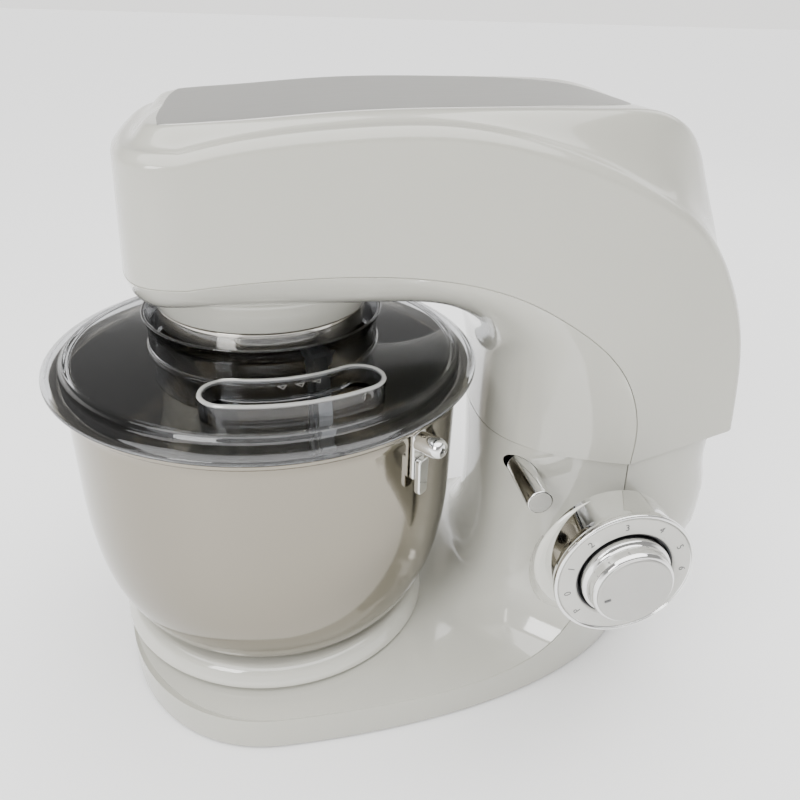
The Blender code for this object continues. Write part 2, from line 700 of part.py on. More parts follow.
def make_beater(axis):
    """Flat beater: a heart-shaped cast frame with one rib, and its socket on the shaft."""
    outer = [(-9, 204), (-34, 196), (-52, 176), (-56, 145), (-50, 108), (-34, 72), (-16, 58),
             (0, 55)]
    outer = smooth_path(outer, 18)
    outer += [(-y, z) for y, z in outer[-2::-1]]
    frame = prism(outer, BEATER_OFFSET - 4, BEATER_OFFSET + 4, "X")
    beater = finish_object("flat_beater", frame, CAST, axis)
    windows = ((66, 108, 24, 38), (116, 150, 41, 44), (158, 188, 43, 24))
    for low, high, low_width, high_width in windows:
        for side in (-1, 1):
            window = [(side * 3.5, low), (side * low_width, low), (side * high_width, high),
                      (side * 3.5, high)]
            cutter = prism(window, BEATER_OFFSET - 9, BEATER_OFFSET + 9, "X")
            boolean(beater, finish_object(f"beater_window_{low}_{side}", cutter, None))
    socket = turned([(5.4, 195), (9, 195), (9, 222), (5.4, 222)], (BEATER_OFFSET, 0, 0), steps=16)
    socket_item = finish_object("beater_socket", socket, None)
    room = turned(disc(5.4, 195.5, 230), (BEATER_OFFSET, 0, 0), steps=16)
    boolean(beater, socket_item, "UNION")
    boolean(beater, finish_object("beater_socket_room", room, None))


def make_drive():
    """Gearbox plates, layshaft, belt and motor."""
    plate = prism(rounded_rectangle((-52, -40), (96, 40), 20), 263, 269)
    lower = finish_object("gearbox_plate", plate, CAST)
    boolean(lower, finish_object("plate_bore", turned(disc(6.5, 255, 280), steps=16), None))
    upper_plate = prism(rounded_rectangle((-30, -40), (98, 40), 16), 296, 301)
    upper = finish_object("gearbox_cover", upper_plate, CAST)
    boolean(upper, finish_object("cover_bore", turned(disc(6.5, 290, 310), steps=16), None))
    centre = (LAYSHAFT_X, 0, 0)
    for item, name in ((lower, "lower_bore"), (upper, "upper_bore")):
        bore = turned(disc(5.3, 255, 310), centre, steps=16)
        boolean(item, finish_object(name, bore, None))
    origin = (LAYSHAFT_X, 0, 300)
    finish_object("layshaft", turned(disc(4.8, 264, 316), centre, steps=14), GEAR, origin)
    pinion = prism(moved(gear_outline(8, 10, math.pi / 8), LAYSHAFT_X, 0), 276, 289)
    lay = finish_object("layshaft_pinion", pinion, GEAR, origin)
    wheel = finish_object("belt_wheel", turned(disc(40, 303, 314), centre, steps=36), BLACK, origin)
    for item, name in ((lay, "pinion_bore"), (wheel, "wheel_bore")):
        bore = turned(disc(5.1, 255, 330), centre, steps=14)
        boolean(item, finish_object(name, bore, None))
    for side in (-1, 1):
        post = turned(disc(4, 269.3, 295.7), (80, side * 33, 0), steps=10)
        finish_object(f"gearbox_post_{'left' if side < 0 else 'right'}", post, CAST)
    origin = (MOTOR_X, 0, 250)
    centre = (MOTOR_X, 0, 0)
    finish_object("motor_shaft", turned(disc(3.5, 190, 316), centre, steps=12), GEAR, origin)
    rotor = (("armature", disc(22, 214, 270, 3.8), COPPER),
             ("motor_pulley", disc(8, 303, 314, 3.8), GEAR))
    for name, profile, finish in rotor:
        finish_object(name, turned(profile, centre, steps=20), finish, origin)
    fan = prism(moved(gear_outline(9, 27), MOTOR_X, 0), 196, 204)
    fan_item = finish_object("cooling_fan", fan, BLACK, origin)
    bore = turned(disc(3.8, 190, 210), centre, steps=12)
    boolean(fan_item, finish_object("fan_bore", bore, None))
    field = turned(disc(35, 220, 264, 23.5), centre, steps=24)
    finish_object("motor_field", field, GEAR)
    yoke = prism(moved(rounded_rectangle((-34, -37), (34, 37), 10), MOTOR_X, 0), 278, 283)
    bracket = finish_object("motor_bracket", yoke, CAST)
    bore = turned(disc(4, 270, 290), centre, steps=12)
    boolean(bracket, finish_object("bracket_bore", bore, None))
    make_belt()


def make_belt():
    """Toothed belt, as the loop that wraps the wheel and the pulley."""
    def loop(extra):
        big, small = 40.4 + extra, 8.4 + extra
        lean = math.degrees(math.acos((big - small) / (MOTOR_X - LAYSHAFT_X)))
        out = arc((LAYSHAFT_X, 0), big, lean, 360 - lean, 20)
        return out + arc((MOTOR_X, 0), small, -lean, lean, 8)
    belt = finish_object("drive_belt", prism(loop(2.6), 304, 313), BLACK)
    boolean(belt, finish_object("belt_inside", prism(loop(0), 300, 320), None))


def make_hinge():
    """Arms on the head, lugs in the column, the pin through them and its bushes."""
    arm = [(60, 270), (60, 263), (108, 263), (136, 243), (152, 214), (232, 170)]
    arm += arc((HINGE_X, HINGE_Z), 11, 215, 400, 8)
    arm += [(222, 205), (170, 258), (150, 270)]
    lug = [(206, 95), (238, 95)] + arc((HINGE_X, HINGE_Z), 10, -20, 200, 8) + [(214, 120)]
    for side, word in ((-1, "left"), (1, "right")):
        low, high = sorted((side * 41, side * 46))
        item = finish_object(f"hinge_arm_{word}", prism(arm, low, high, "Y"), CAST,
                             (HINGE_X, 0, HINGE_Z))
        low, high = sorted((side * 48, side * 53))
        support = finish_object(f"hinge_lug_{word}", prism(lug, low, high, "Y"), CAST)
        for piece, bore in ((item, 7.3), (support, 4.3)):
            hole = turned(disc(bore, -60, 60), (HINGE_X, 0, HINGE_Z), "Y", 20)
            boolean(piece, finish_object(f"{piece.name}_bore", hole, None))
        bush = turned(disc(7, *sorted((-side * 40.5, -side * 46.5)), 4.3),
                      (HINGE_X, 0, HINGE_Z), "Y", 20)
        finish_object(f"hinge_bush_{word}", bush, BLACK)
    pin = turned([(0, -57), (6, -57), (6, -54), (4, -54), (4, 57), (0, 57)],
                 (HINGE_X, 0, HINGE_Z), "Y", 16)
    finish_object("hinge_pin", pin, GEAR)


def make_base_fittings():
    """Bottom plate, suction feet, control board and the cord's inlet."""
    plate = housing_loft((2.3, 5), 3.8)
    finish_object("bottom_plate", plate, BLACK)
    foot = [(0, 0), (17, 0), (17, 0.8), (11, 2), (0, 2)]
    places = ((-58, 62), (40, 96), (205, 44))
    number = 0
    for x, y in places:
        for side in (-1, 1):
            number += 1
            finish_object(f"suction_foot_{number}", turned(foot, (x, side * y, 0), steps=18), RUBBER)
    board = box((196, -34, 60), (199, 34, 118))
    finish_object("control_board", board, BOARD)
    outline = rounded_rectangle((-8.4, -8.4), (8.4, 8.4), 4)
    inlet = prism(moved(outline, 0, 40), 252, 268, "X")
    item = finish_object("cord_inlet", inlet, BLACK)
    hole = turned(disc(3.8, -30, 30), (0, 0, 0), "Y", 14)
    bmesh.ops.rotate(hole, verts=hole.verts, matrix=Matrix.Rotation(math.pi / 2, 3, "Z"))
    bmesh.ops.translate(hole, verts=hole.verts, vec=(260, 0, 40))
    boolean(item, finish_object("inlet_hole", hole, None))


make_head_shells()
make_base_shells()
make_dial()
make_button()
make_bowl()
make_lid()
make_hub()
make_drive()
make_hinge()
make_base_fittings()
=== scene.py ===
"""The looks of the stand mixer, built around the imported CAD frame.

Lengths in the tables and functions below are millimetres in the mixer's own layout: x runs from the
nose to the rear with x = 0 on the bowl's axis, y runs across with the dial at -y, z = 0 is the table.
place() turns them into the frame's metres.
"""

import json
import math

import bmesh
import bpy
import numpy as np
from mathutils import Matrix, Vector
from mathutils.bvhtree import BVHTree

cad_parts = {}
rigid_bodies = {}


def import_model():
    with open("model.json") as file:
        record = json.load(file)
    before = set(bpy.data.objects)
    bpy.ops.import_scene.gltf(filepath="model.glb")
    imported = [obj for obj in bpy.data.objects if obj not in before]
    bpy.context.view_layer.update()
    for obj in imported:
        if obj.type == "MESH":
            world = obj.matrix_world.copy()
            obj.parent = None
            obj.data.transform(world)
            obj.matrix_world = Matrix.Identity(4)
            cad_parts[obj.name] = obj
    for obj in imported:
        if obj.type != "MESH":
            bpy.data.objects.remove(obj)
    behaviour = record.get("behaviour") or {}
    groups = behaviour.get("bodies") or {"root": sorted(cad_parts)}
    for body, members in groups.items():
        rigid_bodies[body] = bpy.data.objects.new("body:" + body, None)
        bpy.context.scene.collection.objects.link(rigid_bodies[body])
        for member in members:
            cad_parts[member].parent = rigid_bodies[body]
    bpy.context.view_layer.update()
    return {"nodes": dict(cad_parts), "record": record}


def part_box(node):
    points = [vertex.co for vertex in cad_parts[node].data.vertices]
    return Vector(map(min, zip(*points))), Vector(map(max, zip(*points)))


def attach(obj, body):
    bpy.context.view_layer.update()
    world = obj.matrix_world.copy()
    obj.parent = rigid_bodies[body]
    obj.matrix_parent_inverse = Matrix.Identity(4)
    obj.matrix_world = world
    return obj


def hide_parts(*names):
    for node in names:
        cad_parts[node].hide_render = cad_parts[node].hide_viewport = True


for item in list(bpy.data.objects):
    bpy.data.objects.remove(item, do_unlink=True)
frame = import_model()
NODES = frame["nodes"]

MM = 0.001
BOWL_LOW, BOWL_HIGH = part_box("bowl")
AXIS = Vector(((BOWL_LOW.x + BOWL_HIGH.x) / 2, (BOWL_LOW.y + BOWL_HIGH.y) / 2, 0))

SEAM_GAP, SPLIT_GAP = 0.7, 0.8
WALL = 3.0
LINER_WALL = WALL * 0.8
CREASE = 35.0
SPLIT_X, SPLIT_Z, SPLIT_SLOPE = 200.0, 169.5, 0.18
LID_RADIUS = 128.0
HUB_RADIUS = 60.6
BOWL_RIM_Z = 203.0
DIAL_X, DIAL_Z = 178.0, 138.6
BUTTON_X, BUTTON_Z, BUTTON_RADIUS = 152.0, 143.5, 7.8
BEATER_OFFSET = 32.0
EAR_AZIMUTH = -49.0
CHUTE_INNER, CHUTE_OUTER, CHUTE_TOP = 79.0, 108.3, 226.0
CHUTE_START, CHUTE_END = -102.5, -60.5
COLUMN_HALF, FOOT_HALF = 98.0, 124.0
BASE_FRONT, FOOT_TOP, FOOT_CROWN = 100.0, 22.0, 4.5
# The pod at the wall and at the dial: x, y, z, radius.
POD_WALL, POD_RIM = (197, -96, 101, 47), (175.5, -132, 135, 39.5)
# Where each mark sits round the dial, in degrees.
MARK_TURNS = {"P": 222, "0": 196, "1": 166, "2": 135, "3": 98, "4": 62, "5": 30, "6": 2}
POINTER_TURN = 197.0
# Camera: spot in layout millimetres; azimuth, elevation and roll in degrees.
CAMERA_SPOT, CAMERA_ANGLES = (-0.35, -437.4, 408.7), (11.0, 28.64, 2.11)
CAMERA_LENS, CAMERA_SENSOR = 34.83, 36.0
SUN_POWER, SUN_ANGLE = 5.4, 80.0
# The sky fades from bright to dim between two heights of the view direction.
SKY_LOW, SKY_HIGH, SKY_BRIGHT, SKY_DIM = 0.08, 0.3, 1.7, 0.42
FLOOR_HALF = 9.0

# Parting line between the head's outer shell and its liner: x, z, half width.
HEAD_SEAM = (
    (-34, 279, 92), (0, 282.5, 93), (50, 284, 94), (93, 280, 95.5), (122, 272, 96.5),
    (143, 262, 97), (166, 247, 97.5), (183, 231, COLUMN_HALF), (194, 213, COLUMN_HALF),
    (200, 192, COLUMN_HALF), (SPLIT_X, SPLIT_Z, COLUMN_HALF),
)
# Middle line of the head's liner: x, z, and how square its section is.
HEAD_LINER = (
    (-34, 258.5, 6), (0, 258, 6), (50, 258, 6), (84, 257, 5.5), (104, 249, 4.6),
    (118, 237, 3.8), (127, 221, 3.2), (131, 204, 2.9), (133, 188, 2.7), (134, 172, 2.6),
    (134.5, 157.7, 2.6),
)
# Lower parting line: x, z.
BASE_SEAM = (
    (SPLIT_X, SPLIT_Z), (201, 145), (200, 115), (196, 85), (188, 60), (175, 40), (158, 29),
    (135, 24), (105, FOOT_TOP), (70, FOOT_TOP), (35, FOOT_TOP), (0, FOOT_TOP),
)
# Middle line of the base's liner: x, z, and how square its section is.
BASE_LINER = (
    (134.5, 157.7, 2.6), (135.5, 135, 2.6), (137, 105, 2.6), (137, 78, 2.6), (134, 56, 2.8),
    (127, 40, 3), (115, 30.5, 3), (101, 26.8, 2.6), (78, 26.5, 2.2), (50, 26.5, 2),
    (25, 26.5, 2), (0, 26.5, 2),
)
# Top outline of the head at y = 0, from the nose to the split behind.
SPINE = (
    (-20, 349), (5, 351), (40, 354), (75, 355.5), (110, 356), (150, 356), (185, 354.5),
    (212, 350), (232, 339), (246, 323), (257, 303), (265, 280), (271, 250), (275, 218),
    (277, 183.4),
)
# Ridge where the side wall turns into the shoulder: x, z, half width.
RIDGE = (
    (-34, 335, 90), (0, 342, 90), (50, 347, 91), (93, 347, 92.5), (130, 340, 93),
    (162, 330, 93), (190, 318, 92.5), (214, 304, 91), (234, 284, 90), (251, 254, 89),
    (261, 222, 88), (266, 181.4, 88),
)
# Near half of the top panel's plan outline, from the nose to the rear.
PANEL_EDGE = (
    (-46, 0), (-45.5, -40), (-42, -58), (-28, -65), (60, -66), (130, -62), (172, -52), (196, -34),
    (206, 0),
)
# How far the shoulder spreads from the ridge in front, over the rear and at the split.
SHOULDER_FRONT, SHOULDER_REAR, SHOULDER_END = 26.0, 70.0, 34.0
# Near half of the nose's plan outline at the parting line, from the middle to the side.
NOSE_PLAN = (
    (-71.5, 0), (-70.5, -30), (-67.5, -54), (-64.5, -68), (-60, -79), (-53, -86.5),
    (-44, -90.5), (-34, -92),
)
NOSE_X, NOSE_END = -71.5, -34.0


def place(point):
    """A layout point in millimetres as a point of the frame in metres."""
    return AXIS + Vector(point) * MM


def spline(points, count, passes=2):
    """Even steps along a smooth cubic B-spline drawn close to the points."""
    wanted = np.array(points, float)
    control = wanted.copy()
    for _ in range(passes):
        inner = (control[:-2] + 4 * control[1:-1] + control[2:]) / 6
        control[1:-1] += wanted[1:-1] - inner
    control = np.vstack([2 * control[0] - control[1], control, 2 * control[-1] - control[-2]])
    along = np.linspace(0, len(wanted) - 1, count)
    k = np.minimum(along.astype(int), len(wanted) - 2)
    t = (along - k)[:, None]
    a, b, c, d = (control[k + n] for n in range(4))
    return (a * (1 - t) ** 3 + b * (3 * t ** 3 - 6 * t ** 2 + 4)
            + c * (-3 * t ** 3 + 3 * t ** 2 + 3 * t + 1) + d * t ** 3) / 6


def link(name, data):
    """A new object in the scene."""
    item = bpy.data.objects.new(name, data)
    bpy.context.scene.collection.objects.link(item)
    return item


def smooth(mesh, crease=CREASE):
    """Smooth shading, broken at edges sharper than the crease angle."""
    mesh.shade_smooth()
    mesh.set_sharp_from_angle(angle=math.radians(crease))


def make_piece(name, shape, finish, body, replaced=(), crease=CREASE):
    """Turns a bmesh in layout millimetres into a piece that rides on a body."""
    bmesh.ops.remove_doubles(shape, verts=shape.verts, dist=1e-3)
    bmesh.ops.recalc_face_normals(shape, faces=shape.faces)
    for vert in shape.verts:
        vert.co = place(vert.co)
    mesh = bpy.data.meshes.new(name)
    shape.to_mesh(mesh)
    shape.free()
    smooth(mesh, crease)
    item = link(name, mesh)
    if finish:
        mesh.materials.append(finish)
    if body:
        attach(item, body)
    if replaced:
        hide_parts(*replaced)
    return item


def apply_modifiers(item):
    """Replaces the mesh by its evaluated result and drops the modifiers."""
    bpy.context.view_layer.update()
    evaluated = item.evaluated_get(bpy.context.evaluated_depsgraph_get())
    mesh = bpy.data.meshes.new_from_object(evaluated)
    item.modifiers.clear()
    item.data = mesh
    return item


def cut(item, tools, operation="DIFFERENCE"):
    """Applies boolean tools one after another and removes them."""
    for tool in tools:
        step = item.modifiers.new("cut", "BOOLEAN")
        step.object = tool
        step.operation = operation
    apply_modifiers(item)
    for tool in tools:
        bpy.data.objects.remove(tool, do_unlink=True)
    smooth(item.data)
    return item


def tool_piece(shape):
    """A bmesh as a bare object, for use as a boolean tool."""
    return make_piece("tool", shape, None, None)


def thicken(item, thickness, offset=-1):
    """Gives an open shell its wall."""
    step = item.modifiers.new("wall", "SOLIDIFY")
    step.thickness = thickness * MM
    step.offset = offset
    apply_modifiers(item)
    smooth(item.data)
    return item


def grid_faces(shape, rows, closed=False):
    """Faces between neighbouring rows of vertices; a closed grid joins the last row to the first."""
    pairs = list(zip(rows[:-1], rows[1:]))
    if closed:
        pairs.append((rows[-1], rows[0]))
    for here, there in pairs:
        for a, b, c, d in zip(here[:-1], here[1:], there[1:], there[:-1]):
            corners = []
            for vert in (a, b, c, d):
                if vert not in corners:
                    corners.append(vert)
            if len(corners) > 2:
                shape.faces.new(corners)


def turned(profile, centre=(0, 0, 0), axis="Z", steps=128, closed=True):
    """Surface of revolution of a (radius, height) outline; along Y the height runs towards -y."""
    shape = bmesh.new()
    outline = list(profile) + ([profile[0]] if closed else [])
    rows = []
    for k in range(steps):
        turn = 2 * math.pi * k / steps
        row = []
        for radius, height in outline:
            point = Vector((radius * math.cos(turn), radius * math.sin(turn), height))
            if axis == "Y":
                point = Vector((point.x, -point.z, point.y))
            row.append(shape.verts.new(point + Vector(centre)))
        rows.append(row)
    grid_faces(shape, rows, closed=True)
    bmesh.ops.remove_doubles(shape, verts=shape.verts, dist=1e-4)
    return shape


def rounded(profile, radius, count=5):
    """A closed outline with its corners rounded; a corner may give its own radius as a third value."""
    out = []
    last = len(profile)
    for k, corner in enumerate(profile):
        here = Vector(corner[:2])
        before = Vector(profile[k - 1][:2]) - here
        after = Vector(profile[(k + 1) % last][:2]) - here
        own = corner[2] if len(corner) > 2 else radius
        room = min(own, before.length * 0.48, after.length * 0.48)
        if room < 0.02:
            out.append(tuple(here))
            continue
        start = here + before.normalized() * room
        end = here + after.normalized() * room
        for n in range(count + 1):
            t = n / count
            point = start * (1 - t) ** 2 + here * 2 * t * (1 - t) + end * t ** 2
            out.append(tuple(point))
    return out


def prism(outline, low, high, axis="Z"):
    """Straight extrusion of an outline along an axis."""
    shape = bmesh.new()

    def at(point, level):
        if axis == "Y":
            return (point[0], level, point[1])
        if axis == "X":
            return (level, point[0], point[1])
        return (point[0], point[1], level)

    lower = [shape.verts.new(at(p, low)) for p in outline]
    upper = [shape.verts.new(at(p, high)) for p in outline]
    shape.faces.new(lower)
    shape.faces.new(upper[::-1])
    for k in range(len(outline)):
        n = (k + 1) % len(outline)
        shape.faces.new((lower[k], lower[n], upper[n], upper[k]))
    return shape


def arc(centre, radius, start, end, count):
    """Points on an arc, angles in degrees."""
    return [(centre[0] + radius * math.cos(math.radians(start + (end - start) * k / count)),
             centre[1] + radius * math.sin(math.radians(start + (end - start) * k / count)))
            for k in range(count + 1)]


# ---------------------------------------------------------------- materials

def new_material(name, colour, roughness, metallic=0.0, coat=0.0):
    """A material with its node tree and its Principled shader."""
    made = bpy.data.materials.new(name)
    made.use_nodes = True
    shader = made.node_tree.nodes["Principled BSDF"]
    shader.inputs["Base Color"].default_value = (*colour, 1)
    shader.inputs["Roughness"].default_value = roughness
    shader.inputs["Metallic"].default_value = metallic
    shader.inputs["Coat Weight"].default_value = coat
    shader.inputs["Coat Roughness"].default_value = 0.03
    return made, made.node_tree, shader


def add_noise(tree, scale, detail=3.0, stretch=(1, 1, 1)):
    """Noise in the object's own coordinates, squeezed along the stretched axis."""
    coordinates = tree.nodes.new("ShaderNodeTexCoord")
    mapping = tree.nodes.new("ShaderNodeMapping")
    mapping.inputs["Scale"].default_value = stretch
    noise = tree.nodes.new("ShaderNodeTexNoise")
    noise.inputs["Scale"].default_value = scale
    noise.inputs["Detail"].default_value = detail
    tree.links.new(coordinates.outputs["Object"], mapping.inputs["Vector"])
    tree.links.new(mapping.outputs["Vector"], noise.inputs["Vector"])
    return noise


def add_bump(tree, shader, noise, strength, distance):
    bump = tree.nodes.new("ShaderNodeBump")
    bump.inputs["Strength"].default_value = strength
    bump.inputs["Distance"].default_value = distance
    tree.links.new(noise.outputs["Fac"], bump.inputs["Height"])
    tree.links.new(bump.outputs["Normal"], shader.inputs["Normal"])


def vary(tree, shader, socket, noise, low, high):
    """Moves a number socket between two values by a noise."""
    span = tree.nodes.new("ShaderNodeMapRange")
    span.inputs["From Min"].default_value = 0.3
    span.inputs["From Max"].default_value = 0.7
    span.inputs["To Min"].default_value = low
    span.inputs["To Max"].default_value = high
    tree.links.new(noise.outputs["Fac"], span.inputs["Value"])
    tree.links.new(span.outputs["Result"], shader.inputs[socket])


def vary_colour(tree, shader, noise, first, second):
    """Moves the base colour between two colours by a noise."""
    ramp = tree.nodes.new("ShaderNodeValToRGB")
    ramp.color_ramp.elements[0].position = 0.35
    ramp.color_ramp.elements[0].color = (*first, 1)
    ramp.color_ramp.elements[1].position = 0.65
    ramp.color_ramp.elements[1].color = (*second, 1)
    tree.links.new(noise.outputs["Fac"], ramp.inputs["Fac"])
    tree.links.new(ramp.outputs["Color"], shader.inputs["Base Color"])


def moulded(name, colour, roughness, coat, spread=0.03):
    """Moulded plastic: faint unevenness of gloss, colour and surface."""
    made, tree, shader = new_material(name, colour, roughness, coat=coat)
    broad = add_noise(tree, 9)
    vary(tree, shader, "Roughness", broad, roughness * 0.8, roughness * 1.25)
    darker = tuple(c * (1 - spread) for c in colour)
    vary_colour(tree, shader, broad, darker, colour)
    fine = add_noise(tree, 260, 2)
    add_bump(tree, shader, fine, 0.03, 0.0002)
    return made


def brushed(name, colour, roughness, stretch, spread, bump):
    """Metal with fine lines that run across the stretched direction."""
    made, tree, shader = new_material(name, colour, roughness, metallic=1.0)
    lines = add_noise(tree, 60, 4, stretch)
    vary(tree, shader, "Roughness", lines, roughness, roughness + spread)
    add_bump(tree, shader, lines, bump, 0.0002)
    return made


def plain_metal(name, colour, roughness):
    """Plated metal with a faint smear in its gloss."""
    made, tree, shader = new_material(name, colour, roughness, metallic=1.0)
    smear = add_noise(tree, 30, 4)
    vary(tree, shader, "Roughness", smear, roughness, roughness + 0.04)
    return made


def clear_plastic():
    made, tree, shader = new_material("clear_plastic", (0.62, 0.63, 0.65), 0.02)
    shader.inputs["Transmission Weight"].default_value = 1.0
    shader.inputs["IOR"].default_value = 1.46
    haze = add_noise(tree, 14, 4)
    vary(tree, shader, "Roughness", haze, 0.01, 0.05)
    return made


def rubber():
    made, tree, shader = new_material("grey_rubber", (0.42, 0.43, 0.44), 0.6)
    grain = add_noise(tree, 900, 3)
    add_bump(tree, shader, grain, 0.2, 0.0002)
    return made


COVER = moulded("cover_white", (0.43, 0.425, 0.375), 0.2, 0.5)
GLOSS = moulded("gloss_white", (0.54, 0.535, 0.48), 0.1, 1.0)
SATIN = brushed("satin_grey", (0.46, 0.455, 0.435), 0.4, (1, 14, 1), 0.1, 0.05)
STEEL = brushed("polished_steel", (0.50, 0.48, 0.44), 0.07, (1, 1, 16), 0.05, 0.02)
# Darker, yellower copy of the polished steel: its colour is painted shade that dims the whole bowl.
SHADED_BOWL_STEEL = brushed("bowl_steel_painted_shade", (0.27, 0.248, 0.205), 0.08, (1, 1, 16), 0.05, 0.02)
CHROME = plain_metal("chrome", (0.80, 0.80, 0.79), 0.03)
PEARL = moulded("dial_pearl", (0.52, 0.515, 0.48), 0.3, 0.2)
CAST = brushed("cast_aluminium", (0.50, 0.51, 0.52), 0.38, (1, 1, 1), 0.15, 0.2)
GEAR = brushed("gear_steel", (0.40, 0.40, 0.41), 0.3, (1, 1, 6), 0.15, 0.1)
BLACK = moulded("black_plastic", (0.02, 0.02, 0.022), 0.45, 0.0)
RUBBER = rubber()
COPPER = brushed("copper", (0.72, 0.35, 0.2), 0.3, (1, 1, 12), 0.2, 0.3)
BOARD = moulded("circuit_board", (0.03, 0.16, 0.07), 0.4, 0.1)
CLEAR = clear_plastic()
# Pale opaque colour for the chute's clear edge: a painted highlight, not a frosted finish.
CHUTE_HIGHLIGHT_PAINT = moulded("chute_edge_painted_highlight", (0.36, 0.36, 0.35), 0.12, 0.8)
INK = moulded("grey_ink", (0.10, 0.10, 0.10), 0.5, 0.0)
SLOTS = {"cover_white": COVER, "gloss_white": GLOSS, "satin_grey": SATIN, "polished_steel": STEEL,
         "chrome": CHROME, "cast_aluminium": CAST, "gear_steel": GEAR, "black_plastic": BLACK,
         "grey_rubber": RUBBER, "copper": COPPER, "circuit_board": BOARD, "clear_plastic": CLEAR}


def dress_cad_nodes():
    """Gives each carried-over CAD node the material of its slot."""
    for entry in frame["record"]["subparts"]:
        mesh = NODES[entry["node"]].data
        mesh.materials.clear()
        mesh.materials.append(SLOTS[entry["material_slot"]])


# ---------------------------------------------------------------- head

def blend(low, high, x):
    """Smooth step from 0 at low to 1 at high."""
    t = min(1, max(0, (x - low) / (high - low)))
    return t * t * (3 - 2 * t)


def cover_rays():
    """Rays of the head's outer shell: parting line, ridge, spine, the spine's outward normal and
    the place between the front (0) and the split behind (1)."""
    count = 90
    seam, ridge, spine = (spline(line, count) for line in (HEAD_SEAM, RIDGE, SPINE))
    top = Vector((spine[0][0], 0, spine[0][1]))
    upward = spine_normal(spine, 0)
    draw_in = RIDGE[0][2] / HEAD_SEAM[0][2]
    rays = []
    for x, y in spline(NOSE_PLAN, 40)[:-1]:
        high = Vector((NOSE_END + (x - NOSE_END) * 0.945, y * draw_in, RIDGE[0][1]))
        rays.append((Vector((x, y, HEAD_SEAM[0][1])), high, top, upward, 0))
    for k in range(count):
        (px, pz, side), (rx, rz, wide), (sx, sz) = seam[k], ridge[k], spine[k]
        rays.append((Vector((px, -side, pz)), Vector((rx, -wide, rz)), Vector((sx, 0, sz)),
                     spine_normal(spine, k), k / (count - 1)))
    return rays


def spine_normal(spine, k):
    """Outward normal of the spine at its point k."""
    before, after = spine[max(k - 1, 0)], spine[min(k + 1, len(spine) - 1)]
    return Vector((before[1] - after[1], 0, after[0] - before[0])).normalized()


def shoulder_reach(along):
    """How far the shoulder spreads from the ridge: short in front, long over the rear."""
    grown = SHOULDER_FRONT + (SHOULDER_REAR - SHOULDER_FRONT) * blend(0.42, 0.72, along)
    return grown + (SHOULDER_END - SHOULDER_REAR) * blend(0.86, 1.0, along)


def cover_ray(seam, ridge, spine, normal, along, count=60):
    """Points up one ray: wall, bevelled ridge, hollow shoulder, top."""
    wall = (ridge - seam).normalized()
    inward = spine - ridge
    climb = inward.dot(normal)
    across = inward - normal * climb
    unit = across.normalized()
    reach = shoulder_reach(along)
    control = [seam + wall * SEAM_GAP, seam + wall * 2.5, seam.lerp(ridge, 0.25),
               seam.lerp(ridge, 0.5), seam.lerp(ridge, 0.75), ridge - wall * 7, ridge - wall * 2.5,
               ridge, ridge + unit * 4.5 + wall * 3.5, ridge + unit * 6.5 + wall * 4]
    for step, rise in ((11, 0.1), (11 + (reach - 11) * 0.3, 0.3), (11 + (reach - 11) * 0.62, 0.74),
                       (11 + (reach - 11) * 0.85, 0.95), (reach, 1.0)):
        control.append(ridge + unit * step + normal * (3 + (climb - 3) * rise))
    for share in (0.15, 0.4, 0.65, 0.85, 1.0):
        far = reach + (across.length - reach) * share
        control.append(ridge + unit * far + normal * climb)
    return [Vector(p) for p in spline([tuple(c) for c in control], count, passes=0)]


def make_head_cover():
    shape = bmesh.new()
    near = [cover_ray(*ray) for ray in cover_rays()]
    for side in (1, -1):
        rows = [[shape.verts.new((p.x, p.y * side, p.z)) for p in row] for row in near]
        grid_faces(shape, rows)
    cover = make_piece("head_cover_shell", shape, COVER, "head", ["head_cover"], 50)
    return thicken(cover, WALL)


def panel_outline():
    """Plan of the top panel: a long rounded shape that narrows towards the rear."""
    near = [tuple(p) for p in spline(PANEL_EDGE, 70)]
    return near + [(x, -y) for x, y in near[-2:0:-1]]


def make_top_panel(cover):
    """Satin panel that lies on the arched top of the cover."""
    surface = BVHTree.FromObject(cover, bpy.context.evaluated_depsgraph_get())

    def on_top(x, y):
        start = place((x, y, 500))
        hit = surface.ray_cast(start, Vector((0, 0, -1)))[0]
        return hit.z / MM if hit else 350.0

    shape = bmesh.new()
    rings = []
    middle = Vector((80, 0))
    levels = [(share, 0.35) for share in [0.002] + [k / 12 for k in range(1, 12)]]
    levels += [(0.985, 0.35), (0.994, 0.3), (0.998, 0.15), (1.0, -0.5)]
    outline = panel_outline()
    for share, height in levels:
        ring = []
        for x, y in outline:
            px, py = middle.x + (x - middle.x) * share, y * share
            ring.append(shape.verts.new((px, py, on_top(px, py) + height)))
        rings.append(ring + ring[:1])
    grid_faces(shape, rings)
    shape.faces.new(rings[0][:-1])
    return make_piece("top_panel_plate", shape, SATIN, "head", ["top_panel"], 60)


def head_stations():
    """Stations along the head's liner, starting with the bowed nose."""
    seam_z = HEAD_SEAM[0][1]
    depth = seam_z - HEAD_LINER[0][1]
    nose = []
    for x, y in spline(NOSE_PLAN, 40)[3:-1]:
        drop = depth * math.sqrt(1 - (1 - min(1, (x - NOSE_X) / 24)) ** 2)
        nose.append((x, seam_z, -y, x, seam_z - drop, 6))
    joined = [a + b for a, b in zip(HEAD_SEAM, HEAD_LINER)]
    return nose + [tuple(p) for p in spline(joined, 90)]


def housing_rear(z):
    """Rearmost x of the column: it swells below the split and keeps clear of the tilting head."""
    return 258 + 18 * math.sin(math.pi / 2 * min(1, z / 110)) - 5 * blend(130, 158, z)


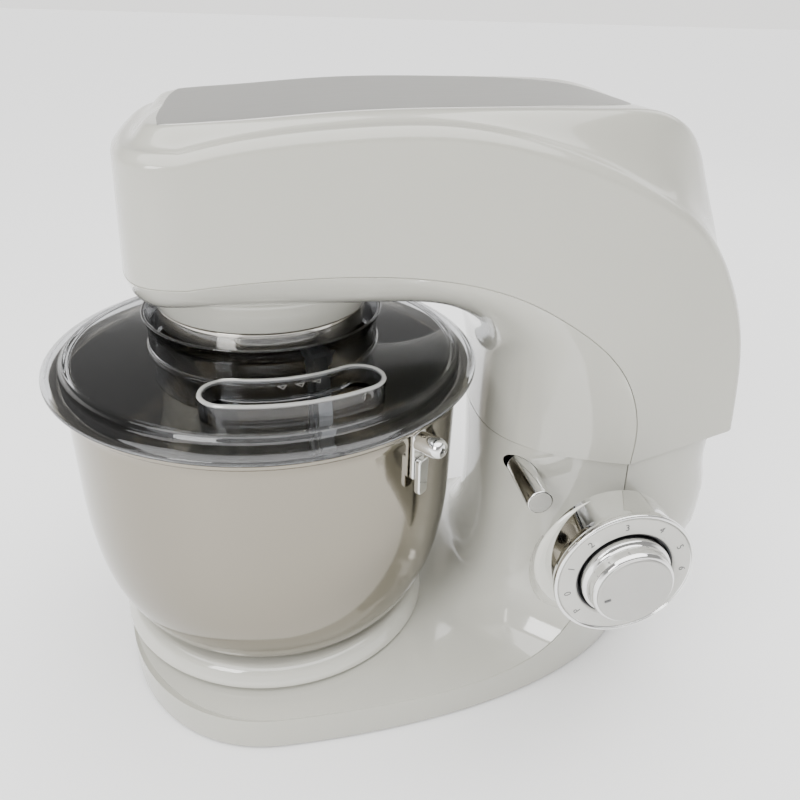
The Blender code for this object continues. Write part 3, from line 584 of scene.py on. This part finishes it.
def housing_half_width(x, z):
    """Half width of the lower housing: an oval at the table, squarer higher up."""
    rear = housing_rear(z)
    low_length = rear if x > 0 else BASE_FRONT
    low = FOOT_HALF * max(0, 1 - (abs(x) / low_length) ** 2.15) ** (1 / 2.15)
    share = max(0, x - 60) / (rear - 60)
    high = (COLUMN_HALF * max(0, 1 - share ** 5.5) ** (1 / 5.5) if x > 0
            else low * COLUMN_HALF / FOOT_HALF)
    return low + (high - low) * min(1, max(0, z - 10) / (150 - 50 * blend(180, 250, x)))


def base_stations():
    """Stations along the base's liner, ending with the oval front of the foot."""
    seam = [(x, z, housing_half_width(x, z) - 0.3) for x, z in BASE_SEAM]
    joined = [a + b for a, b in zip(seam, BASE_LINER)]
    front = []
    for k in range(1, 30):
        turn = math.radians(89 * k / 29)
        x = -(BASE_FRONT - 0.8) * math.sin(turn)
        front.append((x, FOOT_TOP, seam[-1][2] * math.cos(turn),
                      x, FOOT_TOP + FOOT_CROWN * math.cos(turn), 2))
    return [tuple(p) for p in spline(joined, 100)] + front


def liner_shape(stations, half_steps=40):
    """Visible face of a liner, bent across each station from seam to seam."""
    shape = bmesh.new()
    rows = []
    for px, pz, half, cx, cz, power in stations:
        row = []
        for j in range(2 * half_steps + 1):
            share = j / half_steps - 1
            share = math.copysign(1 - (1 - abs(share)) ** 1.5, share)
            rise = abs(share) ** power
            row.append(shape.verts.new((cx + (px - cx) * rise, half * share,
                                        cz + (pz - cz) * rise)))
        rows.append(row)
    grid_faces(shape, rows)
    return shape


def make_head_liner():
    liner = make_piece("head_liner_shell", liner_shape(head_stations()), GLOSS, "head",
                       ["head_liner"], 60)
    face_inward(liner, (60, 0, 300))
    thicken(liner, LINER_WALL, 1)
    cut(liner, [tool_piece(turned([(0, 240), (57, 240), (57, 275), (0, 275)], steps=64))])
    return liner


def face_inward(item, point):
    """Turns an open shell's faces towards a layout point."""
    target = place(point)
    mesh = item.data
    shape = bmesh.new()
    shape.from_mesh(mesh)
    shape.faces.ensure_lookup_table()
    face = min(shape.faces, key=lambda f: (f.calc_center_median() - target).length)
    if face.normal.dot(target - face.calc_center_median()) < 0:
        bmesh.ops.reverse_faces(shape, faces=shape.faces)
    shape.to_mesh(mesh)
    shape.free()


def make_hub_collar():
    profile = [(57.2, 243.2), (61.5, 243.2), (63, 246.5, 4), (66.5, 254, 4), (69, 262, 3),
               (58, 262), (57.2, 256)]
    return make_piece("hub_collar_ring", turned(rounded(profile, 0.8)), GLOSS, "head",
                      ["hub_collar"])


# ---------------------------------------------------------------- base

def split_wedge(gap):
    """Wedge that holds everything above the sloping split of the column."""
    def at(x):
        return SPLIT_Z + SPLIT_SLOPE * (x - SPLIT_X) + gap
    outline = [(-250, at(-250)), (400, at(400)), (400, 500), (-250, 500)]
    return tool_piece(prism(outline, -200, 200, "Y"))


def housing_loft(levels, inset=0.0, steps=90):
    """Closed stack of plan outlines, drawn in by the inset."""
    shape = bmesh.new()
    rings = []
    for z in levels:
        rear = housing_rear(z)
        middle, reach = (rear - BASE_FRONT) / 2, (rear + BASE_FRONT) / 2
        half = []
        for k in range(steps + 1):
            x = middle - reach * math.cos(math.pi * k / steps)
            half.append((x, housing_half_width(x, z)))
        outline = [(x, -y) for x, y in half] + half[-2:0:-1]
        scale = ((reach - inset) / reach, (FOOT_HALF - inset) / FOOT_HALF)
        ring = [shape.verts.new((middle + (x - middle) * scale[0], y * scale[1], z))
                for x, y in outline]
        rings.append(ring + ring[:1])
    grid_faces(shape, rings)
    shape.faces.new(rings[0][:-1])
    shape.faces.new(rings[-1][:-1])
    return shape


def mouth_prism(gap):
    """The space inside the C, grown past the lower parting line by a gap."""
    seam = spline(BASE_SEAM, 100)
    run = np.gradient(seam, axis=0)
    run /= np.linalg.norm(run, axis=1)[:, None]
    grown = [(x - r[1] * gap, z + r[0] * gap) for (x, z), r in zip(seam, run)]
    outline = [(-200, 400), (SPLIT_X + gap, 400)] + grown + [(-200, FOOT_TOP - gap)]
    return tool_piece(prism(outline, -150, 150, "Y"))


def make_base_housing():
    levels = [2, 4, 7, 12] + list(range(20, 206, 8))
    housing = make_piece("base_housing_shell", housing_loft(levels), COVER, "base",
                         ["base_housing"], 40)
    hollow = tool_piece(housing_loft([0] + levels[1:-1] + [210], WALL))
    gland = prism(rounded([(-9, 31), (9, 31), (9, 49), (-9, 49)], 4), 240, 300, "X")
    cut(housing, [hollow, mouth_prism(SEAM_GAP), split_wedge(-SPLIT_GAP), tool_piece(gland)])
    cut(housing, [tool_piece(pod_hole())])
    return housing


def make_base_liner():
    liner = make_piece("base_liner_shell", liner_shape(base_stations()), GLOSS, "base",
                       ["base_liner"], 60)
    face_inward(liner, (-40, 0, 300))
    thicken(liner, LINER_WALL, -1)
    button = turned([(0, 40), (BUTTON_RADIUS + 0.2, 40), (BUTTON_RADIUS + 0.2, 110), (0, 110)],
                    (BUTTON_X, 0, BUTTON_Z), "Y", 48)
    cut(liner, [split_wedge(-SPLIT_GAP), tool_piece(pod_hole()), tool_piece(button)])
    return liner


def pod_loft(rings, steps=96):
    """Closed loft of circles that face -Y, each given as x, y, z and radius."""
    shape = bmesh.new()
    made = []
    for x, y, z, radius in rings:
        ring = [shape.verts.new((x + radius * math.cos(2 * math.pi * k / steps), y,
                                 z + radius * math.sin(2 * math.pi * k / steps)))
                for k in range(steps)]
        made.append(ring + ring[:1])
    grid_faces(shape, made)
    shape.faces.new(made[0][:-1])
    shape.faces.new(made[-1][:-1])
    return shape


def pod_centre(y):
    """Centre x, z of the oblique pod at a distance from the middle plane."""
    share = (y - POD_WALL[1]) / (POD_RIM[1] - POD_WALL[1])
    return (POD_WALL[0] + (POD_RIM[0] - POD_WALL[0]) * share,
            POD_WALL[2] + (POD_RIM[2] - POD_WALL[2]) * share)


def pod_hole():
    rings = []
    for y in (-70, -145):
        x, z = pod_centre(y)
        rings.append((x, y, z, POD_WALL[3] - 6))
    return pod_loft(rings)


def make_pod():
    """White moulding that carries the dial; its foot flares into the column."""
    rings = []
    for k in range(33):
        share = k / 32
        y = -80 - 50 * share
        x, z = pod_centre(y)
        rings.append((x, y, z, POD_RIM[3] + 11 * (1 - share) ** 2 - 1.2 * share * (1 - share)))
    x, z = pod_centre(-131.5)
    for y, draw_in in ((-131.2, 0.1), (-132.2, 0.7), (-132.8, 1.7), (-133, 3)):
        rings.append((x, y, z, POD_RIM[3] - draw_in))
    pod = make_piece("dial_pod_moulding", pod_loft(rings), GLOSS, "base",
                     ["dial_pod"], 40)
    socket = turned([(0, -90), (34, -90), (34, 150), (0, 150)], (DIAL_X, 0, DIAL_Z), "Y", 96)
    return cut(pod, [tool_piece(socket)])


def make_bottom():
    """Rubber suction feet with their cups."""
    for number in range(1, 7):
        node = f"suction_foot_{number}"
        low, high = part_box(node)
        centre = ((low + high) / 2 - AXIS) / MM
        profile = [(3, 0.6), (13.5, 0.6), (15.5, 0), (17, 0.1), (16.8, 1.0), (13, 1.6), (11, 2.1),
                   (8, 6), (3, 6)]
        make_piece(f"{node}_cup", turned(rounded(profile, 0.4), (centre.x, centre.y, 0), steps=48),
                   RUBBER, "base", [node])


# ---------------------------------------------------------------- dial

def make_dial():
    """Chrome barrel with its marked ring, and the stepped knob."""
    centre = (DIAL_X, 0, DIAL_Z)
    barrel = [(30, 128), (36.4, 128), (36.6, 146), (37.2, 149.4, 2), (38.5, 151), (38.5, 153.2),
              (37.2, 153.8), (36.6, 152.9), (36.2, 152.6), (35, 152.6), (30, 150)]
    make_piece("dial_barrel", turned(rounded(barrel, 0.5), centre, "Y"), CHROME, "base",
               ["dial_ring"])
    face = [(26.4, 147), (36.1, 147), (36.1, 153.1), (35.6, 153.4), (27.2, 153.4), (26.4, 152.6)]
    make_piece("dial_face", turned(rounded(face, 0.3), centre, "Y"), PEARL, "base")
    well = [(20, 144), (26.3, 144), (26.3, 152.2), (25.6, 152.2), (25.4, 147.5), (20, 147.5)]
    make_piece("dial_well", turned(well, centre, "Y"), BLACK, "base")
    knob = [(0, 148), (24.4, 148), (24.6, 152.5), (24.2, 155.6), (22.6, 156.8), (22.2, 158.5),
            (22.2, 162.6), (21.5, 164.3), (20.6, 164.8), (0, 164.8)]
    make_piece("speed_knob_body", turned(rounded(knob, 0.6), centre, "Y"), CHROME, "knob",
               ["speed_knob"])
    cap = [(0, 164.6), (20.4, 164.6), (20.2, 165.5), (19.4, 165.9), (0, 166)]
    make_piece("knob_cap_disc", turned(rounded(cap, 0.3), centre, "Y"), SATIN, "knob",
               ["knob_cap"])
    make_pointer()
    for label in MARK_TURNS:
        make_mark(label)


def make_pointer():
    """Small dash printed on the knob's cap."""
    turn = math.radians(POINTER_TURN)
    outline = rounded([(-1.8, -0.6), (1.8, -0.6), (1.8, 0.6), (-1.8, 0.6)], 0.5)
    shape = prism(outline, -166.25, -165.6, "Y")
    spin = Matrix.Rotation(-turn, 3, "Y")
    bmesh.ops.rotate(shape, verts=shape.verts, matrix=spin)
    bmesh.ops.translate(shape, verts=shape.verts, vec=(
        DIAL_X + 15 * math.cos(turn), 0, DIAL_Z + 15 * math.sin(turn)))
    make_piece("knob_pointer", shape, INK, "knob")


def make_mark(label):
    """One generic mark on the dial's face."""
    turn = math.radians(MARK_TURNS[label])
    curve = bpy.data.curves.new(f"dial_mark_{label}", "FONT")
    curve.body = label
    curve.size = 5.4 * MM
    curve.align_x = "CENTER"
    curve.align_y = "CENTER"
    curve.extrude = 0.05 * MM
    item = link(f"dial_mark_{label}", curve)
    item.data.materials.append(INK)
    spot = Vector((DIAL_X + 31.6 * math.cos(turn), -153.45, DIAL_Z + 31.6 * math.sin(turn)))
    item.matrix_world = (Matrix.Translation(place(spot)) @ Matrix.Rotation(math.pi / 2, 4, "X")
                         @ Matrix.Rotation(turn - math.pi / 2, 4, "Z"))
    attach(item, "base")


def make_button():
    """Chrome release button with a pearl face."""
    centre = (BUTTON_X, 0, BUTTON_Z)
    radius = BUTTON_RADIUS
    profile = [(0, 52), (radius, 52), (radius, 92.2), (radius - 0.5, 92.8), (0, 93)]
    make_piece("release_button_barrel", turned(rounded(profile, 0.5), centre, "Y", 64), CHROME,
               "release", ["release_button"])
    face = [(0, 92.7), (radius - 0.9, 92.7), (radius - 1.1, 93.05), (0, 93.1)]
    make_piece("release_button_face", turned(face, centre, "Y", 64), PEARL, "release")


# ---------------------------------------------------------------- bowl

def make_bowl():
    """Steel bowl with its rolled rim, and the white seat that it stands on."""
    outer = spline([(78, 41), (86, 41.8), (92.5, 44), (99.1, 50), (106.5, 65), (112.5, 85),
                    (116.2, 115), (116.9, 150), (117.4, 196)], 60)
    inner = spline([(115.9, 197), (115.9, 150), (115.2, 115), (111.5, 85.5), (105.5, 66),
                    (98.2, 51.5), (90.5, 45.5), (77, 43.4)], 50)
    rim = [(118.6, 197.4), (121, 198), (123, 199), (124, 200.7), (123.7, 202.2), (122.6, BOWL_RIM_Z),
           (120, BOWL_RIM_Z), (117.6, 201.6), (116.2, 199.5)]
    profile = [(0, 41)] + [tuple(p) for p in outer] + rim + [tuple(p) for p in inner] + [(0, 43.4)]
    # The bowl takes the darker steel copy, whose colour is painted shade.
    make_piece("bowl_shell", turned(profile, steps=160), SHADED_BOWL_STEEL, "bowl",
               ["bowl"], 60)
    seat = [(58, 24), (86, 24), (86, 27.2), (103, 27.2, 1), (102.2, 30.5, 3), (99, 36.4, 3),
            (95.5, 38.8, 2), (70, 38.8), (69, 33), (58, 33)]
    make_piece("bowl_seat_ring", turned(rounded(seat, 0.6)), GLOSS, "base",
               ["bowl_seat"])
    make_handle()


def make_handle():
    """Ear on the side of the bowl: rounded strap, stub with a domed end and hanging tongue."""
    along = Matrix.Rotation(math.radians(EAR_AZIMUTH), 4, "Z")
    strap = rounded([(-5, 166), (5, 166), (5.5, 196), (-5.5, 196)], 3)
    stub = rounded([(0, 0), (5.8, 0), (5.8, 13.5, 2), (4.4, 16.2, 4), (0, 17)], 1)
    tongue = rounded([(-3.8, 157), (3.8, 157), (4.4, 180), (-4.4, 180)], 3)
    strap_shape = prism(strap, 117.6, 120.2, "X")
    stub_shape = turned(stub, (0, 0, 0), "Z", 48)
    bmesh.ops.rotate(stub_shape, verts=stub_shape.verts, matrix=Matrix.Rotation(math.pi / 2, 3, "Y"))
    bmesh.ops.translate(stub_shape, verts=stub_shape.verts, vec=(119.6, 0, 190))
    tongue_shape = prism(tongue, 120.4, 124, "X")
    parts = (("bowl_ear_strap", strap_shape, ["bowl_handle"]), ("bowl_ear_stub", stub_shape, ()),
             ("bowl_ear_tongue", tongue_shape, ()))
    for name, shape, replaced in parts:
        bmesh.ops.transform(shape, matrix=along, verts=shape.verts)
        item = make_piece(name, shape, CHROME, "bowl", replaced)
        edge = item.modifiers.new("edge", "BEVEL")
        edge.width = 0.7 * MM
        edge.segments = 3
        edge.limit_method = "ANGLE"


# ---------------------------------------------------------------- lid

def chute_outline(inset):
    """Bean-shaped plan of the chute, in front of the hub on the dial side."""
    inner_radius, outer_radius = CHUTE_INNER + inset, CHUTE_OUTER - inset
    cap = (outer_radius - inner_radius) / 2
    middle = (inner_radius + outer_radius) / 2
    start, end = CHUTE_START, CHUTE_END
    out = arc((0, 0), outer_radius, start, end, 30)
    for cap_at, first in ((end, end), (start, start + 180)):
        turn = math.radians(cap_at)
        centre = (middle * math.cos(turn), middle * math.sin(turn))
        out += arc(centre, cap, first, first + 180, 14)[1:-1]
        if cap_at == end:
            out += arc((0, 0), inner_radius, end, start, 30)
    return out


def make_lid():
    """Clear lid: flange with its step, plate, collar round the hub and the chute."""
    profile = [(64.5, 213.6, 2), (112, 211.2, 2), (115.6, 208.0, 2), (123.6, 206.8, 1),
               (126.6, 204.4, 1), (LID_RADIUS, 204.6, 0.6), (LID_RADIUS, 206.8, 0.8),
               (125, 209.2, 1.5), (117.4, 210.4, 1.5), (115.6, 213.6, 1.2), (112.6, 213.9, 1.2),
               (67.5, 216.2, 2), (67, 229, 1.5), (70, 237, 0.8), (68.2, 237.5, 0.8),
               (64.5, 229.5, 1.5)]
    lid = make_piece("splash_lid_shell", turned(rounded(profile, 1)), CLEAR, "lid",
                     ["splash_lid"], 50)
    wall = tool_piece(prism(chute_outline(0), 212, CHUTE_TOP))
    cut(lid, [wall], "UNION")
    cut(lid, [tool_piece(prism(chute_outline(2.4), 200, 240))])
    make_chute_rim()
    make_lid_marks()


def make_chute_rim():
    """Pale opaque ring on the clear chute's edge: its colour is a painted highlight for the light that
    the edge catches.
    """
    shape = bmesh.new()
    rings = []
    for inset, z in ((0.1, CHUTE_TOP - 1.2), (-0.3, CHUTE_TOP - 0.4), (0.2, CHUTE_TOP + 0.4),
                     (1.6, CHUTE_TOP + 0.4), (2.3, CHUTE_TOP - 0.2), (2.3, CHUTE_TOP - 1.2)):
        ring = [shape.verts.new((x, y, z)) for x, y in chute_outline(inset)]
        rings.append(ring + ring[:1])
    grid_faces(shape, rings, closed=True)
    make_piece("chute_rim", shape, CHUTE_HIGHLIGHT_PAINT, "lid")


def make_lid_marks():
    """Unlock, lock and lock arrows moulded into the lid by its collar."""
    for angle in (-84, -76, -68):
        turn = math.radians(angle)
        spot = Vector((70.5 * math.cos(turn), 70.5 * math.sin(turn), 0))
        outline = [(-2.6, -1.8), (2.6, -1.8), (0, 2.6)]
        inner = [(x * 0.62, y * 0.62 - 0.15) for x, y in outline]
        shape = bmesh.new()
        spin = Matrix.Rotation(turn - math.pi / 2, 2)
        rings = []
        for line in (outline, inner):
            ring = []
            for x, y in line:
                across = spin @ Vector((x, y))
                ring.append(shape.verts.new((spot.x + across.x, spot.y + across.y, 216.35)))
            rings.append(ring + ring[:1])
        grid_faces(shape, rings)
        grown = bmesh.ops.extrude_face_region(shape, geom=shape.faces[:])
        lifted = [v for v in grown["geom"] if isinstance(v, bmesh.types.BMVert)]
        bmesh.ops.translate(shape, verts=lifted, vec=(0, 0, 0.3))
        make_piece(f"lid_arrow_{-angle}", shape, PEARL, "lid")


def make_hub():
    """Steel hub ring with a rounded lower edge."""
    profile = [(0, 229.5), (52, 229.5), (58, 230.2, 2), (HUB_RADIUS, 231.6, 1.5),
               (HUB_RADIUS, 242.3, 0.4), (59, 242.8), (0, 242.8)]
    hub = make_piece("hub_ring", turned(rounded(profile, 0.4)), STEEL, "hub",
                     ["planet_carrier"], 60)
    bore = turned([(0, 225), (6.3, 225), (6.3, 250), (0, 250)], (BEATER_OFFSET, 0, 0), steps=48)
    cut(hub, [tool_piece(bore)])


# ---------------------------------------------------------------- studio

def add_light(name, spot, target, size, power):
    """Rectangular area light aimed at a target; places in metres."""
    light = bpy.data.lights.new(name, "AREA")
    light.shape = "RECTANGLE"
    light.size, light.size_y = size
    light.energy = power
    item = link(name, light)
    item.location = spot
    item.rotation_euler = (Vector(target) - Vector(spot)).to_track_quat("-Z", "Y").to_euler()


def add_sun():
    """Wide soft light from straight above, so that the floor is even all the way back."""
    light = bpy.data.lights.new("overhead", "SUN")
    light.energy = SUN_POWER
    light.angle = math.radians(SUN_ANGLE)
    link("overhead", light)


def add_floor(finish):
    mesh = bpy.data.meshes.new("floor")
    far = FLOOR_HALF
    mesh.from_pydata([(-far, -far, 0), (far, -far, 0), (far, far, 0), (-far, far, 0)], [],
                     [(0, 1, 2, 3)])
    mesh.materials.append(finish)
    item = link("floor", mesh)


def studio_sky():
    """Bright at the horizon, dim above, so that the lid and the chrome have dark to show."""
    world = bpy.data.worlds.new("studio")
    bpy.context.scene.world = world
    world.use_nodes = True
    tree = world.node_tree
    back = tree.nodes["Background"]
    back.inputs["Color"].default_value = (1.0, 0.99, 0.97, 1)
    way = tree.nodes.new("ShaderNodeTexCoord")
    split = tree.nodes.new("ShaderNodeSeparateXYZ")
    span = tree.nodes.new("ShaderNodeMapRange")
    span.inputs["From Min"].default_value = SKY_LOW
    span.inputs["From Max"].default_value = SKY_HIGH
    span.inputs["To Min"].default_value = SKY_BRIGHT
    span.inputs["To Max"].default_value = SKY_DIM
    tree.links.new(way.outputs["Generated"], split.inputs["Vector"])
    tree.links.new(split.outputs["Z"], span.inputs["Value"])
    tree.links.new(span.outputs["Result"], back.inputs["Strength"])


def make_studio():
    floor, tree, shader = new_material("floor_white", (0.93, 0.93, 0.93), 0.6)
    add_bump(tree, shader, add_noise(tree, 300), 0.02, 0.0005)
    add_floor(floor)
    studio_sky()
    add_sun()
    add_light("key", (-1.2, -1.3, 1.2), (0, 0, 0.2), (0.7, 0.9), 30)
    add_light("rim", (1.3, 0.9, 1.2), (0, 0, 0.2), (0.8, 0.8), 4)


def make_camera():
    """Camera at the reference view."""
    azimuth, elevation, roll = (math.radians(angle) for angle in CAMERA_ANGLES)
    forward = Vector((math.sin(azimuth) * math.cos(elevation),
                      math.cos(azimuth) * math.cos(elevation), -math.sin(elevation)))
    level = Vector((math.cos(azimuth), -math.sin(azimuth), 0))
    upright = level.cross(forward)
    right = level * math.cos(roll) + upright * math.sin(roll)
    up = upright * math.cos(roll) - level * math.sin(roll)
    camera = bpy.data.cameras.new("camera")
    camera.lens = CAMERA_LENS
    camera.sensor_width = CAMERA_SENSOR
    item = link("camera", camera)
    turn = Matrix((right, up, -forward)).transposed().to_4x4()
    item.matrix_world = Matrix.Translation(place(CAMERA_SPOT)) @ turn
    bpy.context.scene.camera = item


dress_cad_nodes()
make_camera()
make_studio()
COVER_PIECE = make_head_cover()
make_top_panel(COVER_PIECE)
make_head_liner()
make_hub_collar()
make_hub()
make_base_housing()
make_base_liner()
make_pod()
make_bottom()
make_dial()
make_button()
make_bowl()
make_lid()
